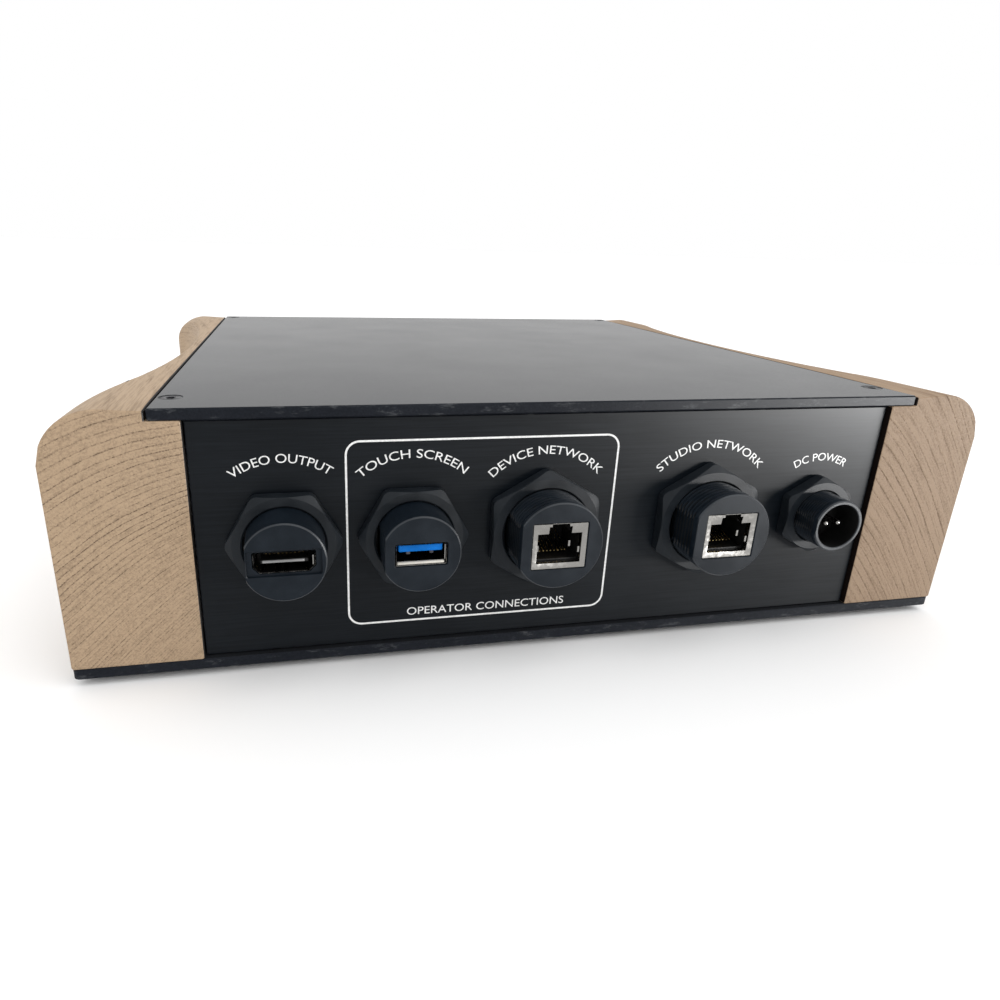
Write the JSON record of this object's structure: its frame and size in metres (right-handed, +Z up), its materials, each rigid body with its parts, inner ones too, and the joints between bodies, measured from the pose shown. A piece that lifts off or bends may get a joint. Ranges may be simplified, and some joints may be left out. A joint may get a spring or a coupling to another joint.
{
  "type": "desktop control console",
  "caption": "Low desktop control console: metal case between scooped wooden cheeks, with sealed video, touch, network and power ports and a power button.",
  "frame": {"origin": "middle of the overall box, in plan, on the surface that the feet stand on", "axes": "+Z up; the port panel faces -Y and the button panel faces +Y; +X is to the right when facing the ports"},
  "size_m": [0.261, 0.2356, 0.0725],
  "materials": {
    "cheek_wood": "open-grained light oak, matt oil finish",
    "anodised_lid": "black anodised sheet with a satin sheen",
    "black_sheet": "brushed and black anodised sheet",
    "zinc_steel": "bright zinc plating",
    "black_screw": "black oxide",
    "brass_insert": "turned brass",
    "rubber": "matt black rubber",
    "port_plastic": "matt moulded black nylon",
    "jack_plastic": "black moulded plastic",
    "socket_metal": "nickel-plated sheet",
    "blue_plastic": "bright blue moulded plastic",
    "gold_contact": "gold-plated contact",
    "board_laminate": "green solder mask",
    "chip_epoxy": "black moulded epoxy",
    "sink_aluminium": "black anodised extrusion",
    "lead_jacket": "black flexible jacket",
    "button_steel": "turned stainless steel",
    "light_ring": "milky diffuser"
  },
  "bodies": {
    "case": {"left_cheek": "cheek_wood", "right_cheek": "cheek_wood", "lid": "anodised_lid", "base_plate": "black_sheet", "rear_panel": "black_sheet", "front_panel": "black_sheet", "rear_brackets": "zinc_steel", "front_brackets": "zinc_steel", "panel_studs": "zinc_steel", "panel_nuts": "zinc_steel", "bracket_screws": "zinc_steel", "lid_screws": "black_screw", "base_screws": "black_screw", "cheek_inserts": "brass_insert", "rubber_feet": "rubber", "video_port_body": "port_plastic", "video_port_nut": "port_plastic", "video_port_seal": "rubber", "video_port_shell": "socket_metal", "video_port_tongue": "jack_plastic", "touch_port_body": "port_plastic", "touch_port_nut": "port_plastic", "touch_port_seal": "rubber", "touch_port_shell": "socket_metal", "touch_port_tongue": "blue_plastic", "network_port_a_body": "port_plastic", "network_port_a_nut": "port_plastic", "network_port_a_seal": "rubber", "network_port_a_jack": "jack_plastic", "network_port_a_shell": "socket_metal", "network_port_a_contacts": "gold_contact", "network_port_b_body": "port_plastic", "network_port_b_nut": "port_plastic", "network_port_b_seal": "rubber", "network_port_b_jack": "jack_plastic", "network_port_b_shell": "socket_metal", "network_port_b_contacts": "gold_contact", "power_inlet_body": "port_plastic", "power_inlet_nut": "port_plastic", "power_inlet_seal": "rubber", "power_inlet_pins": "gold_contact", "main_board": "board_laminate", "board_standoffs": "zinc_steel", "board_screws": "zinc_steel", "processor": "chip_epoxy", "heat_sink": "sink_aluminium", "board_headers": "jack_plastic", "power_module": "chip_epoxy", "video_lead": "lead_jacket", "touch_lead": "lead_jacket", "network_lead_a": "lead_jacket", "network_lead_b": "lead_jacket", "power_lead": "lead_jacket", "button_housing": "button_steel", "button_light_ring": "light_ring", "button_nut": "button_steel", "button_seal": "rubber", "button_lead": "lead_jacket"},
    "button": {"button_cap": "button_steel"}
  },
  "joints": [
    {"name": "power_press", "type": "slide", "parent": "case", "child": "button", "axis": [0, -1, 0], "range_m": [0, 0.0015], "stiffness_N_per_m": 900, "springref_m": -0.002}
  ]
}
